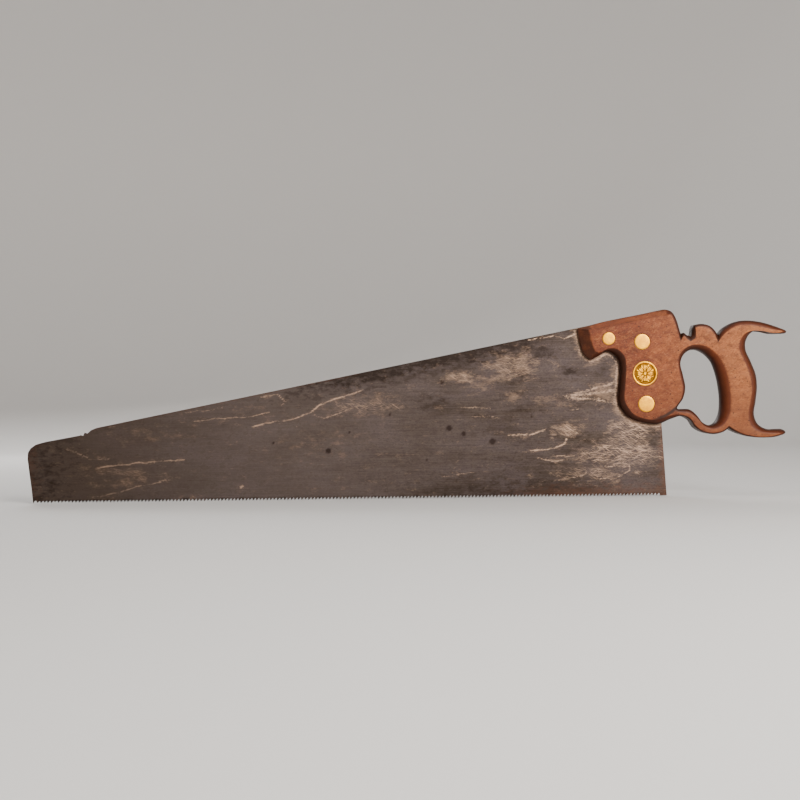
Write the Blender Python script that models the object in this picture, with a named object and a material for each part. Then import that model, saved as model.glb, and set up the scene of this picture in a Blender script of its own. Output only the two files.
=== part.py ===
"""Panel hand saw: a wooden open-top closed-grip handle, a taper-backed steel plate, and the brass screws between them.

Frame, in metres once built: X runs along the line of the teeth with the toe at -X and the handle at +X, Z is up with
the teeth pointing down, and Y is across the thickness with the plate's middle at Y = 0. The medallion is on the -Y
side and the split nuts on the +Y side. The origin is the centre of the grip bar. All dimensions below are in mm.
"""

import math

import bmesh
import bpy
import numpy as np
from mathutils import Vector
from mathutils.geometry import tessellate_polygon

MM = 0.001
WELD = 0.005  # points closer than this after a cut are one point

# ---------------------------------------------------------------- handle
THICK = 22.0  # seven-eighths of an inch of beech
HALF = THICK / 2
GAP = 0.3  # clearance left between pieces that touch on the real saw
CURVE_STEP = 4.2  # longest chord along the handle's outlines
ROUND_STEPS = 3  # rings from the flat face to the wall
WALL_BAND = 0.5  # half of the flat band left at the middle of a fully rounded edge

# Each row is one station round the outside, clockwise from the beak as seen from the medallion side:
# x and z of the wall, x and z of the edge of the flat face, then "c" for a corner and "f" for a flat bevel.
OUTSIDE = [
    (-164, 61.5, -152, 60, "cf"),
    (-140, 68, -139.5, 61.5, "f"),
    (-98, 76, -98, 69.5, "f"),
    (-80.5, 79.5, -81.5, 72.5, "f"),
    (-73, 80.5, -73.5, 73, "f"),
    (-67, 78.5, -68.5, 74, ""),
    (-62.5, 72, -65.5, 69, ""),
    (-57.5, 55, -60.5, 53.5, "c"),
    (-57.1, 54.7, -58.1, 46.4, "c"),
    (-54.5, 56, -54.8, 52, ""),
    (-51, 53.5, -51.5, 49, ""),
    (-47, 52.5, -48, 46, "c"),
    (-46.6, 56.5, -42.3, 49.8, ""),
    (-46, 60.5, -41.7, 54.9, ""),
    (-44, 64, -42.4, 60.8, "c"),
    (-35.5, 65, -37, 61.5, ""),
    (-27.5, 63, -30.1, 60.1, ""),
    (-22, 58, -24.3, 54.9, ""),
    (-18.5, 54, -19.5, 44.5, "c"),
    (-15, 58.5, -15.5, 50, ""),
    (-9.5, 62.5, -10, 55.5, ""),
    (1, 67, -1, 61, ""),
    (12.5, 68, 9.5, 62.5, ""),
    (27, 66, 24, 60.5, ""),
    (41.5, 61.5, 36, 57.5, ""),
    (47.2, 59.1, 42, 57, ""),
    (51.4, 57.4, 45.5, 56.3, ""),
    (53, 55.7, 46.8, 55.8, ""),
    (50.7, 53.9, 45.3, 55.1, ""),
    (46.8, 53.9, 42.5, 54.7, ""),
    (42.5, 54, 38, 54.3, ""),
    (31, 57, 27.5, 56.5, ""),
    (21.5, 57.5, 16.5, 57, ""),
    (15, 54, 8.5, 54.5, ""),
    (10.8, 46, 2.5, 47, ""),
    (11, 37.5, 1.5, 36.5, ""),
    (16, 25.5, 6.5, 25.5, ""),
    (21, 12, 11.5, 12, ""),
    (22, -1, 14, -3, ""),
    (20.5, -16, 12, -17, ""),
    (18.5, -29.5, 10, -30.5, ""),
    (22.5, -39.5, 12.5, -41, ""),
    (31.5, -45, 20, -47.5, ""),
    (42, -45.2, 32, -49.9, ""),
    (47.2, -45.4, 37.5, -50.1, ""),
    (50.2, -46.9, 41, -49.7, ""),
    (51.1, -48.8, 43, -49.9, ""),
    (49.4, -50.6, 41.8, -50.8, ""),
    (45, -52.1, 38.5, -51.5, ""),
    (40, -53.4, 34.5, -52.3, ""),
    (31.5, -54, 28.5, -52.8, ""),
    (17, -53.5, 16, -51.8, ""),
    (4.5, -50.5, 4, -48.5, ""),
    (-5, -46.5, -4.5, -44, ""),
    (-9, -44, -9, -40.7, "c"),
    (-15.5, -47.7, -16, -45.8, ""),
    (-25.5, -49.7, -26, -47.8, ""),
    (-37, -47, -37, -45.2, ""),
    (-44, -42.5, -43.5, -40, ""),
    (-49.5, -34.5, -50, -31.8, ""),
    (-58, -30.5, -60, -28.5, ""),
    (-68.5, -33.5, -71.5, -29.5, ""),
    (-81, -38.5, -82.5, -32.5, ""),
    (-91.5, -38, -92.5, -33, ""),
    (-109, -33, -107, -27.5, ""),
    (-117, -26.5, -112, -21.5, ""),
    (-122.5, -15, -116, -13, ""),
    (-121.5, 5, -115, 5, ""),
    (-120.5, 20.5, -114, 21, ""),
    (-122.5, 30, -115.5, 31.5, ""),
    (-129, 36, -123, 40, ""),
    (-136, 37, -132.5, 41, ""),
    (-143.5, 32.5, -141, 37.5, ""),
    (-151, 29, -146, 38.5, "cf"),
    (-157.5, 35, -148, 43.5, "f"),
    (-161.5, 47, -150, 51.5, "f"),
]
# The hand hole, clockwise from its upper left corner, in the same columns.
HAND_HOLE = [
    (-58, 24.5, -61.5, 25.5, ""),
    (-54.5, 33, -59, 35, ""),
    (-48.5, 37.5, -51.5, 41.5, ""),
    (-41, 38, -42.5, 44, ""),
    (-33, 34, -32, 42.5, ""),
    (-25.5, 25.5, -21, 35, ""),
    (-20.5, 11.5, -11.5, 21, ""),
    (-18, -2, -7, 4, ""),
    (-17, -14.5, -5.3, -13.5, ""),
    (-18.5, -29, -7.5, -31, ""),
    (-23.5, -38.5, -15, -41.4, ""),
    (-29, -40.5, -25, -44.8, ""),
    (-36, -37, -33.5, -42.5, ""),
    (-42, -29, -40.5, -35.5, ""),
    (-49.5, -23.5, -49, -28.8, ""),
    (-62, -22.5, -65, -24.5, ""),
    (-55.7, -12, -59, -12.5, ""),
    (-53.3, -1, -57.2, -1, ""),
    (-55.2, 11, -59.5, 11, ""),
]
BEVEL_DEPTH = 5.0  # how far the flat bevels of the top and beak cut down the wall
HANDLE_COLOUR = (0.33, 0.135, 0.06)

# ---------------------------------------------------------------- plate
PLATE = 0.9  # 20 gauge spring steel
TOOTH_LINE = -113.0  # z of the tooth points
PITCH = 25.4 / 7  # seven points to the inch
TOE_X = -733.5
LAST_TOOTH_X = -79.8
HEEL_FOOT_X = -72.8
HEEL_TOP_X = -84.0
FRONT_RAKE = math.radians(15)  # a crosscut tooth leans back this far from upright
BACK_SLOPE = math.radians(45)
TOOTH_DEPTH = PITCH / (math.tan(FRONT_RAKE) + math.tan(BACK_SLOPE))
TOOTH_SET = 0.25  # each point is bent this far out of the plate, left and right in turn
BACK_SLOPE_RISE = 0.1943  # the straight back climbs this much per mm towards the handle
BACK_HEEL_Z = 78.2  # height of the back above the heel's top corner
# The toe and the nib, from the foot of the toe round to where the straight back begins.
TOE = [
    (-738.8, -66),
    (-738.3, -60),
    (-735.5, -55.5),
    (-730, -51.6),
    (-720, -48.9),
    (-702, -45.8),
    (-684.5, -42.8),
]
NIB = [(-683, -42.2), (-680.5, -42.9), (-679, -39.7), (-677, -39.2), (-676, -40.6), (-672, -37.2)]
BACK_START_X = -666.0
BACK_SPANS = 8
STEEL_COLOUR = (0.16, 0.14, 0.125)

# ---------------------------------------------------------------- screws
# x, z, head radius, nut radius
SCREWS = [
    (-132.6, 50.7, 6.5, 6.4),
    (-98.0, 47.0, 8.0, 7.0),
    (-94.5, -17.5, 8.4, 7.0),
]
MEDALLION = (-95.5, 14.0, 12.7, 7.5)
SHANK_R = 2.4
NUT_BORE_R = 2.46
HEAD_THICK = 2.0
NECK_HALF = 2.8  # half the side of the square neck that stops the bolt turning
NECK_DEEP = 4.0
NUT_THICK = 2.5  # 2.8 turns of a 28 per inch thread
NUT_SUNK = 0.15
SLOT_WIDE = 1.4
SLOT_DEEP = 1.0
DISC_THICK = 1.8  # the struck medallion
CUP_R = 9.0  # the plain head behind the medallion
CUP_THICK = 1.2
RIM_WIDE = 1.7
PETALS = 8
ROUND = 32
SMALL_ROUND = 32
BRASS_COLOUR = (0.62, 0.42, 0.17)


def clear_scene():
    for item in list(bpy.data.objects):
        bpy.data.objects.remove(item, do_unlink=True)


def material(name, colour, roughness, metallic):
    """One Principled surface of a single colour."""
    made = bpy.data.materials.new(name)
    made.use_nodes = True
    shader = made.node_tree.nodes["Principled BSDF"]
    shader.inputs["Base Color"].default_value = (*colour, 1.0)
    shader.inputs["Roughness"].default_value = roughness
    shader.inputs["Metallic"].default_value = metallic
    made.diffuse_color = (*colour, 1.0)
    return made


def solid(name, points, faces, surface=None):
    """A closed body from points in mm, its faces turned outward."""
    mesh = bpy.data.meshes.new(name)
    mesh.from_pydata([Vector(p) * MM for p in points], [], faces)
    work = bmesh.new()
    work.from_mesh(mesh)
    bmesh.ops.recalc_face_normals(work, faces=work.faces)
    work.to_mesh(mesh)
    work.free()
    made = bpy.data.objects.new(name, mesh)
    bpy.context.collection.objects.link(made)
    if surface is not None:
        mesh.materials.append(surface)
    return made


def smooth(piece, degrees):
    mesh = piece.data
    mesh.shade_smooth()
    mesh.set_sharp_from_angle(angle=math.radians(degrees))


def cut(piece, cutter):
    """Takes the cutter's body out of the piece and keeps the result as the piece's own mesh."""
    cutter.hide_render = True
    cutter.display_type = "WIRE"
    rule = piece.modifiers.new("cut", "BOOLEAN")
    rule.operation = "DIFFERENCE"
    rule.solver = "EXACT"
    rule.object = cutter
    graph = bpy.context.evaluated_depsgraph_get()
    fresh = bpy.data.meshes.new_from_object(piece.evaluated_get(graph))
    piece.modifiers.remove(rule)
    work = bmesh.new()
    work.from_mesh(fresh)
    bmesh.ops.remove_doubles(work, verts=work.verts, dist=WELD * MM)
    bmesh.ops.dissolve_degenerate(work, edges=work.edges, dist=WELD * MM)
    work.to_mesh(fresh)
    work.free()
    old = piece.data
    fresh.name = old.name
    piece.data = fresh
    bpy.data.meshes.remove(old)
    bpy.data.objects.remove(cutter, do_unlink=True)


def curve(stations, step):
    """A closed run of samples through the stations: centripetal Catmull-Rom, with one-sided ends at corners.

    Every station carries all its columns through the same spans, so the wall and face edges stay paired.
    """
    wall = np.array([row[:2] for row in stations], float)
    face = np.array([row[2:4] for row in stations], float)
    corner = ["c" in row[4] for row in stations]
    flat = np.array([1.0 if "f" in row[4] else 0.0 for row in stations])
    count = len(stations)
    out = []
    for i in range(count):
        a, b, c, d = (i - 1) % count, i, (i + 1) % count, (i + 2) % count
        spans = max(1, round(float(np.linalg.norm(wall[c] - wall[b])) / step))
        for k in range(spans):
            t = k / spans
            w = span_point(wall[a], wall[b], wall[c], wall[d], corner[b], corner[c], t)
            f = span_point(face[a], face[b], face[c], face[d], corner[b], corner[c], t)
            out.append((*w, *f, flat[b] * (1 - t) + flat[c] * t))
    return np.array(out)


def span_point(before, start, end, after, start_corner, end_corner, t):
    """The point at t between start and end of a Hermite span whose slopes follow the neighbouring stations."""
    long = np.linalg.norm(end - start) ** 0.5
    first = np.linalg.norm(start - before) ** 0.5
    last = np.linalg.norm(after - end) ** 0.5
    chord = end - start
    out_slope = chord
    in_slope = chord
    if not start_corner:
        out_slope = chord / long - (end - before) / (long + first) + (start - before) / first
        out_slope = out_slope * long
    if not end_corner:
        in_slope = (after - end) / last - (after - start) / (last + long) + chord / long
        in_slope = in_slope * long
    h1 = 2 * t**3 - 3 * t**2 + 1
    h2 = t**3 - 2 * t**2 + t
    h3 = -2 * t**3 + 3 * t**2
    h4 = t**3 - t**2
    return h1 * start + h2 * out_slope + h3 * end + h4 * in_slope


def rings_of(samples):
    """The rings of one outline from the -Y face to the +Y face: a quarter ellipse, or a straight bevel, each side."""
    wall = samples[:, 0:2]
    face = samples[:, 2:4]
    flat = samples[:, 4]
    reach = np.linalg.norm(wall - face, axis=1)
    depth = np.minimum(reach, HALF - WALL_BAND) * (1 - flat) + BEVEL_DEPTH * flat
    near = []
    for k in range(ROUND_STEPS + 1):
        turn = k / ROUND_STEPS * math.pi / 2
        out = math.sin(turn) * (1 - flat) + k / ROUND_STEPS * flat
        down = (1 - math.cos(turn)) * (1 - flat) + k / ROUND_STEPS * flat
        place = face + (wall - face) * out[:, None]
        near.append(np.column_stack([place[:, 0], -HALF + depth * down, place[:, 1]]))
    far = [ring * np.array([1, -1, 1]) for ring in reversed(near)]
    return near + far


def handle_body(surface):
    points = []
    faces = []
    edges = []
    for stations in (OUTSIDE, HAND_HOLE):
        rings = rings_of(curve(stations, CURVE_STEP))
        size = len(rings[0])
        base = len(points)
        for ring in rings:
            points.extend(map(tuple, ring))
        for r in range(len(rings) - 1):
            for i in range(size):
                j = (i + 1) % size
                low = base + r * size
                faces.append((low + i, low + j, low + size + j, low + size + i))
        edges.append((base, size, base + (len(rings) - 1) * size))
    for end in (0, 2):
        loops = [[points[edge[end] + i] for i in range(edge[1])] for edge in edges]
        index = [edge[end] + i for edge in edges for i in range(edge[1])]
        flat_loops = [[Vector((p[0], p[2], 0)) for p in loop] for loop in loops]
        for tri in tessellate_polygon(flat_loops):
            faces.append(tuple(index[k] for k in tri))
    return solid("handle", points, faces, surface)


def lathe(name, profile, centre, surface=None, segments=ROUND):
    """A body turned about Y. The profile is (radius, y, square) from the -Y end to the +Y end; it closes on the axis.

    A ring with square set is laid on a square of that half side instead of a circle.
    """
    turn = np.arange(segments) * 2 * math.pi / segments + math.pi / 4
    points = []
    faces = []
    for radius, y, square in profile:
        reach = np.full(segments, float(radius))
        if square:
            reach = radius / np.maximum(np.abs(np.cos(turn)), np.abs(np.sin(turn)))
        for a, r in zip(turn, reach):
            points.append((centre[0] + r * math.cos(a), y, centre[1] + r * math.sin(a)))
    for k in range(len(profile) - 1):
        for i in range(segments):
            j = (i + 1) % segments
            faces.append((k * segments + i, k * segments + j, (k + 1) * segments + j, (k + 1) * segments + i))
    faces.append(tuple(range(segments)))
    top = (len(profile) - 1) * segments
    faces.append(tuple(range(top, top + segments)))
    return solid(name, points, faces, surface)


def box(name, low, high):
    corners = [(x, y, z) for x in (low[0], high[0]) for y in (low[1], high[1]) for z in (low[2], high[2])]
    faces = [(0, 1, 3, 2), (4, 6, 7, 5), (0, 4, 5, 1), (2, 3, 7, 6), (0, 2, 6, 4), (1, 5, 7, 3)]
    return solid(name, corners, faces)


def screw_well(centre, head_r, head_deep, cup_r, cup_deep, nut_r):
    """The stepped hole in the wood: head recess, cup recess, shank hole and nut recess."""
    shank = SHANK_R + GAP
    profile = [(head_r + GAP, -HALF - 1, False), (head_r + GAP, -HALF + head_deep, False)]
    if cup_r:
        profile.append((cup_r + GAP, -HALF + head_deep, False))
        profile.append((cup_r + GAP, -HALF + cup_deep, False))
    profile.append((shank, -HALF + max(head_deep, cup_deep), False))
    nut_floor = HALF - NUT_SUNK - NUT_THICK - GAP
    profile.append((shank, nut_floor, False))
    profile.append((nut_r + GAP, nut_floor, False))
    profile.append((nut_r + GAP, HALF + 1, False))
    return lathe("well", profile, centre)


def neck_well(centre, deep):
    side = NECK_HALF + GAP
    low = (centre[0] - side, -HALF + deep - 0.5, centre[1] - side)
    high = (centre[0] + side, -HALF + deep + NECK_DEEP, centre[1] + side)
    return box("neck_well", low, high)


def kerf():
    """The saw cut that takes the plate: open at the front, top and bottom, closed a little past the heel."""
    wide = PLATE / 2 + GAP
    past = 0.8
    low_z, high_z = -60.0, 100.0
    slope = (HEEL_TOP_X - HEEL_FOOT_X) / (BACK_HEEL_Z - TOOTH_LINE)
    low_x = HEEL_FOOT_X + slope * (low_z - TOOTH_LINE) + past
    high_x = HEEL_FOOT_X + slope * (high_z - TOOTH_LINE) + past
    far_x = -200.0
    ring = [(far_x, low_z), (low_x, low_z), (high_x, high_z), (far_x, high_z)]
    points = [(x, y, z) for y in (-wide, wide) for x, z in ring]
    faces = [(0, 1, 2, 3), (7, 6, 5, 4), (0, 4, 5, 1), (1, 5, 6, 2), (2, 6, 7, 3), (3, 7, 4, 0)]
    return solid("kerf", points, faces)


def strip(upper, lower):
    """Triangles between two runs of (number, x) that both climb in x, taking the nearer next point each time."""
    tris = []
    u, v = 0, 0
    while u < len(upper) - 1 or v < len(lower) - 1:
        step_up = v == len(lower) - 1 or (u < len(upper) - 1 and upper[u + 1][1] <= lower[v + 1][1])
        if step_up:
            tris.append((upper[u][0], lower[v][0], upper[u + 1][0]))
            u += 1
        else:
            tris.append((upper[u][0], lower[v][0], lower[v + 1][0]))
            v += 1
    return tris


def plate_body(surface):
    """The plate: the toe and back above, the gullets below, and one triangle for each tooth, its point set aside."""
    top = list(TOE) + list(NIB)
    for k in range(BACK_SPANS + 1):
        x = BACK_START_X + (HEEL_TOP_X - BACK_START_X) * k / BACK_SPANS
        top.append((x, BACK_HEEL_Z + BACK_SLOPE_RISE * (x - HEEL_TOP_X)))
    outline = [(x, z, 0.0) for x, z in top]
    upper = [(i, p[0]) for i, p in enumerate(outline)]
    teeth = int((LAST_TOOTH_X - TOE_X) / PITCH)
    foot = len(outline)
    outline.append((TOE_X, TOOTH_LINE, 0.0))
    lower = [(foot, TOE_X)]
    rim = [foot]
    tris = []
    for n in range(teeth, 0, -1):
        tip = LAST_TOOTH_X - n * PITCH
        side = TOOTH_SET if n % 2 else -TOOTH_SET
        point = len(outline)
        outline.append((tip, TOOTH_LINE, side))
        gullet_x = tip + TOOTH_DEPTH * math.tan(BACK_SLOPE)
        outline.append((gullet_x, TOOTH_LINE + TOOTH_DEPTH, 0.0))
        tris.append((lower[-1][0], point, point + 1))
        lower.append((point + 1, gullet_x))
        rim += [point, point + 1]
    for x in (LAST_TOOTH_X, HEEL_FOOT_X):
        rim.append(len(outline))
        lower.append((len(outline), x))
        outline.append((x, TOOTH_LINE, 0.0))
    rim += [number for number, _ in reversed(upper)]
    tris += strip(upper, lower)
    size = len(outline)
    points = [(x, set_off - PLATE / 2, z) for x, z, set_off in outline]
    points += [(x, set_off + PLATE / 2, z) for x, z, set_off in outline]
    faces = []
    for i, j in zip(rim, rim[1:] + rim[:1]):
        faces.append((i, j, size + j, size + i))
    for tri in tris:
        faces.append(tuple(tri))
        faces.append(tuple(size + k for k in reversed(tri)))
    return solid("saw_plate", points, faces, surface)


def bolt_body(name, centre, head_r, head_thick, head_sunk, surface):
    """A flush flat head, a square neck and a plain round shank that ends level with the nut's face."""
    front = -HALF + head_sunk
    under = front + head_thick
    neck_end = under + NECK_DEEP - GAP
    profile = [
        (head_r - 0.25, front, False),
        (head_r, front + 0.25, False),
        (head_r, under, False),
        (NECK_HALF, under, True),
        (NECK_HALF, neck_end, True),
        (SHANK_R, neck_end, False),
        (SHANK_R, HALF - NUT_SUNK - 0.2, False),
        (SHANK_R - 0.2, HALF - NUT_SUNK, False),
    ]
    made = lathe(name, profile, centre, surface, ROUND)
    smooth(made, 30)
    return made


def nut_body(name, centre, nut_r, surface):
    """A split nut: a threaded disc whose face is cut by one driver slot on each side of the bore."""
    face = HALF - NUT_SUNK
    profile = [
        (nut_r, face - NUT_THICK, False),
        (nut_r, face - 0.2, False),
        (nut_r - 0.2, face, False),
    ]
    made = lathe(name, profile, centre, surface, ROUND)
    bore = lathe("bore", [(NUT_BORE_R, HALF - 8, False), (NUT_BORE_R, HALF + 2, False)], centre, None, ROUND)
    cut(made, bore)
    half = SLOT_WIDE / 2
    low = (centre[0] - half, face - SLOT_DEEP, centre[1] - nut_r - 1)
    high = (centre[0] + half, face + 1, centre[1] + nut_r + 1)
    cut(made, box("slot", low, high))
    smooth(made, 30)
    return made


def medallion_body(centre, radius, surface):
    """The struck disc: a plain back and edge, a raised rim, and an eight-petalled flower in low relief inside it."""
    front = -HALF + 0.1
    back = front + DISC_THICK
    turn = np.arange(ROUND) * 2 * math.pi / ROUND
    inner = radius - RIM_WIDE
    field = 0.55  # depth of the field below the rim
    rows = [(radius, back), (radius, front + 0.25), (radius - 0.3, front), (inner, front), (inner - 0.4, front + field)]
    points = []
    for r, y in rows:
        points.extend((centre[0] + r * math.cos(a), y, centre[1] + r * math.sin(a)) for a in turn)
    petal = 0.5 + 0.5 * np.cos(PETALS * turn)
    for share, lift in ((0.78, 0.18), (0.62, 0.4), (0.44, 0.4), (0.3, 0.05)):
        r = (inner - 0.4) * share
        for a, rise in zip(turn, petal):
            y = front + field - lift * rise
            points.append((centre[0] + r * math.cos(a), y, centre[1] + r * math.sin(a)))
    for share, lift in ((0.22, 0.4), (0.1, 0.5)):
        r = (inner - 0.4) * share
        points.extend((centre[0] + r * math.cos(a), front + field - lift, centre[1] + r * math.sin(a)) for a in turn)
    ring_count = len(points) // ROUND
    faces = []
    for k in range(ring_count - 1):
        for i in range(ROUND):
            j = (i + 1) % ROUND
            faces.append((k * ROUND + i, k * ROUND + j, (k + 1) * ROUND + j, (k + 1) * ROUND + i))
    faces.append(tuple(range(ROUND)))
    top = (ring_count - 1) * ROUND
    faces.append(tuple(range(top, top + ROUND)))
    made = solid("medallion", points, faces, surface)
    smooth(made, 30)
    return made


def build():
    clear_scene()
    wood = material("oiled_beech", HANDLE_COLOUR, 0.45, 0.0)
    steel = material("patinated_steel", STEEL_COLOUR, 0.45, 1.0)
    brass = material("worn_brass", BRASS_COLOUR, 0.35, 1.0)

    handle = handle_body(wood)
    cut(handle, kerf())
    plate = plate_body(steel)
    wells = [((x, z), head, nut, HEAD_THICK + 0.1, 0.0, 0.0) for x, z, head, nut in SCREWS]
    cup_end = 0.1 + DISC_THICK + 0.1 + CUP_THICK
    x, z, head, nut = MEDALLION
    wells.append(((x, z), head, nut, 0.1 + DISC_THICK + GAP, CUP_R, cup_end + GAP))
    for centre, head_r, nut_r, head_deep, cup_r, cup_deep in wells:
        head_well = head_deep + (0.0 if cup_r else GAP)
        cut(handle, screw_well(centre, head_r, head_well, cup_r, cup_deep, nut_r))
        cut(handle, neck_well(centre, max(head_well, cup_deep)))
        hole_r = SHANK_R + GAP
        hole = lathe("hole", [(hole_r, -5, False), (hole_r, 5, False)], centre, None, SMALL_ROUND)
        cut(plate, hole)
    smooth(handle, 35)
    smooth(plate, 30)

    for number, (x, z, head_r, nut_r) in enumerate(SCREWS, 1):
        bolt_body(f"saw_bolt_{number}", (x, z), head_r, HEAD_THICK, 0.1, brass)
        nut_body(f"saw_nut_{number}", (x, z), nut_r, brass)
    x, z, head_r, nut_r = MEDALLION
    medallion_body((x, z), head_r, brass)
    bolt_body("medallion_bolt", (x, z), CUP_R, CUP_THICK, 0.1 + DISC_THICK + 0.1, brass)
    nut_body("medallion_nut", (x, z), nut_r, brass)


build()
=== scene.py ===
# %% [markdown]
# # A carpenter's hand saw
# The saw is a wooden handle, a steel plate with teeth, three brass screws and a brass medallion. The fixed
# frame of solids comes first. Every finer piece below is built around it, in metres, with +Z up and the
# teeth pointing down.

# %% Load the fixed frame
import math
import bmesh
import bpy
import numpy as np
from mathutils import Matrix, Vector
from mathutils.geometry import tessellate_polygon


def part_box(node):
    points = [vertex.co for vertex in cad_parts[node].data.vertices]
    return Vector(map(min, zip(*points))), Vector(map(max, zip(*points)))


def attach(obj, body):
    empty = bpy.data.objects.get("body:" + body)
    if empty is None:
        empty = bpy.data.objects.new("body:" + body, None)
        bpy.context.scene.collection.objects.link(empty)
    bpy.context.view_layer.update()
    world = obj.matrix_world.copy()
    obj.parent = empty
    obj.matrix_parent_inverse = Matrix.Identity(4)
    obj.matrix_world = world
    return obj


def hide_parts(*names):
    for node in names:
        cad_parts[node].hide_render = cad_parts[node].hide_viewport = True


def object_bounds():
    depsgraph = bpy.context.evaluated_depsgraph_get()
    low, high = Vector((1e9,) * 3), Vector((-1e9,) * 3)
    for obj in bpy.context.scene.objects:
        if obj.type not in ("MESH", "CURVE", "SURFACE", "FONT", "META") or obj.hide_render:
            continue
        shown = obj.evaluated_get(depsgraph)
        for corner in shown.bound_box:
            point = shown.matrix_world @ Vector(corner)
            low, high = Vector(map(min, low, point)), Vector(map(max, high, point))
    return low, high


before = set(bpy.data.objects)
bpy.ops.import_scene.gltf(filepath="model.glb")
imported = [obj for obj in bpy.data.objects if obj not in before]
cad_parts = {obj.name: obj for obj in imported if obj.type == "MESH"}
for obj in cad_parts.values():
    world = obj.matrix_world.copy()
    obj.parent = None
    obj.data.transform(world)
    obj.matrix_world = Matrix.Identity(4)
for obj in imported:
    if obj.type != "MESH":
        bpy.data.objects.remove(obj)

CAD_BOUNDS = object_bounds()
_, HANDLE_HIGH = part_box("handle")
PLATE_LOW, PLATE_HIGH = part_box("saw_plate")
MM = 0.001
HALF = HANDLE_HIGH.y / MM
print("frame", [round(v, 4) for corner in CAD_BOUNDS for v in corner])

# %% [markdown]
# ## Small helpers
# A mesh is made from whole arrays of points and faces. A boolean takes one body out of another where a
# drill or a saw would have done. Colours are given as sRGB hex, the way paint and screen colours are
# written, and turned to the linear values that shaders work in.

# %% Mesh helpers
def new_mesh(name, points, faces):
    """A mesh object from points in mm (n, 3) and face index lists, its faces turned outward."""
    mesh = bpy.data.meshes.new(name)
    mesh.from_pydata(np.asarray(points, float) * MM, [], [tuple(f) for f in faces])
    work = bmesh.new()
    work.from_mesh(mesh)
    bmesh.ops.recalc_face_normals(work, faces=work.faces)
    work.to_mesh(mesh)
    work.free()
    made = bpy.data.objects.new(name, mesh)
    bpy.context.scene.collection.objects.link(made)
    return made


def bake_modifiers(piece):
    """Replaces the piece's mesh with what its modifiers make, and drops the modifiers."""
    graph = bpy.context.evaluated_depsgraph_get()
    graph.update()
    fresh = bpy.data.meshes.new_from_object(piece.evaluated_get(graph))
    piece.modifiers.clear()
    piece.data = fresh
    fresh.name = piece.name


def cut(piece, cutter):
    """Takes the cutter out of the piece, as a drill or saw would, and throws the cutter away."""
    rule = piece.modifiers.new("cut", "BOOLEAN")
    rule.operation = "DIFFERENCE"
    rule.solver = "EXACT"
    rule.object = cutter
    bake_modifiers(piece)
    bpy.data.objects.remove(cutter, do_unlink=True)


def place(piece, material, body, slot, *nodes):
    """Gives a finished piece its material and its body, and hides the solids that it stands for. The slot
    argument is not used.
    """
    piece.data.materials.clear()
    piece.data.materials.append(material)
    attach(piece, body)
    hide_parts(*nodes)
    print(piece.name, len(piece.data.polygons), "faces")
    return piece


def smooth(piece, degrees):
    piece.data.shade_smooth()
    piece.data.set_sharp_from_angle(angle=math.radians(degrees))


def ring_faces(rings, size, closed=True):
    """Quads between neighbouring rings of a grid with `rings` rings of `size` points each."""
    i = np.arange(size if closed else size - 1)
    j = (i + 1) % size
    base = (np.arange(rings - 1) * size)[:, None]
    quads = np.stack([base + i, base + j, base + size + j, base + size + i], axis=-1)
    return quads.reshape(-1, 4)


def ring_caps(rings, size):
    """One flat face over the first ring of such a grid and one over the last."""
    return [list(range(size)), list(range((rings - 1) * size, rings * size))]


# %% Shader helpers
def linear(code, alpha=1.0):
    """An sRGB hex colour such as #8A5A33 as linear red, green and blue."""
    parts = [int(code[k : k + 2], 16) / 255 for k in (1, 3, 5)]
    return (*[v / 12.92 if v <= 0.04045 else ((v + 0.055) / 1.055) ** 2.4 for v in parts], alpha)


def add(tree, kind, settings=None, inputs=None):
    """Adds one node, sets its properties, and fills or links its inputs by name or number. Returns the
    node."""
    made = tree.nodes.new(kind)
    for name, value in (settings or {}).items():
        setattr(made, name, value)
    for name, value in (inputs or {}).items():
        if isinstance(value, bpy.types.Node):
            value = value.outputs[0]
        if isinstance(value, bpy.types.NodeSocket):
            tree.links.new(value, made.inputs[name])
        else:
            made.inputs[name].default_value = value
    return made


def new_material(name):
    """An empty Principled material. Returns it, its tree, its shader and the Object coordinates in mm."""
    made = bpy.data.materials.new(name)
    made.use_nodes = True
    tree = made.node_tree
    shader = tree.nodes["Principled BSDF"]
    where = add(tree, "ShaderNodeTexCoord").outputs["Object"]
    in_mm = add(tree, "ShaderNodeVectorMath", {"operation": "SCALE"}, {0: where, "Scale": 1 / MM})
    return made, tree, shader, in_mm


def pattern(tree, point, sizes, detail, rough, turn=0.0):
    """Noise with lumps of sizes mm along x, y and z, turned about Y."""
    place_at = {"Vector": point, "Rotation": (0, turn, 0), "Scale": sizes}
    mapped = add(tree, "ShaderNodeMapping", {"vector_type": "TEXTURE"}, place_at)
    look = {"Vector": mapped, "Scale": 1, "Detail": detail, "Roughness": rough}
    return add(tree, "ShaderNodeTexNoise", {}, look)


def span(tree, value, low, high, to_low=0.0, to_high=1.0):
    """A straight ramp of value from low..high to to_low..to_high, held at both ends."""
    return add(tree, "ShaderNodeMapRange", {"clamp": True},
               {"Value": value, "From Min": low, "From Max": high, "To Min": to_low, "To Max": to_high})


def maths(tree, operation, a, b=0.0):
    return add(tree, "ShaderNodeMath", {"operation": operation}, {0: a, 1: b})


def mix(tree, amount, first, second):
    """Blends two colours. The amount and either colour may be a link or a value."""
    return add(tree, "ShaderNodeMix", {"data_type": "RGBA"}, {0: amount, 6: first, 7: second}).outputs[2]


def paint(tree, tone, code, amount, strength=None):
    """Lays a hex colour over a tone. The amount is a link, or the value, low, high and limits of a span."""
    if isinstance(amount, tuple):
        amount = span(tree, *amount)
    if strength is not None:
        amount = maths(tree, "MULTIPLY", amount, strength)
    return mix(tree, amount, tone, linear(code))


def carried(tree, name):
    """A number stored on the mesh's points under this name."""
    return add(tree, "ShaderNodeAttribute", {"attribute_name": name}).outputs["Fac"]


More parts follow.
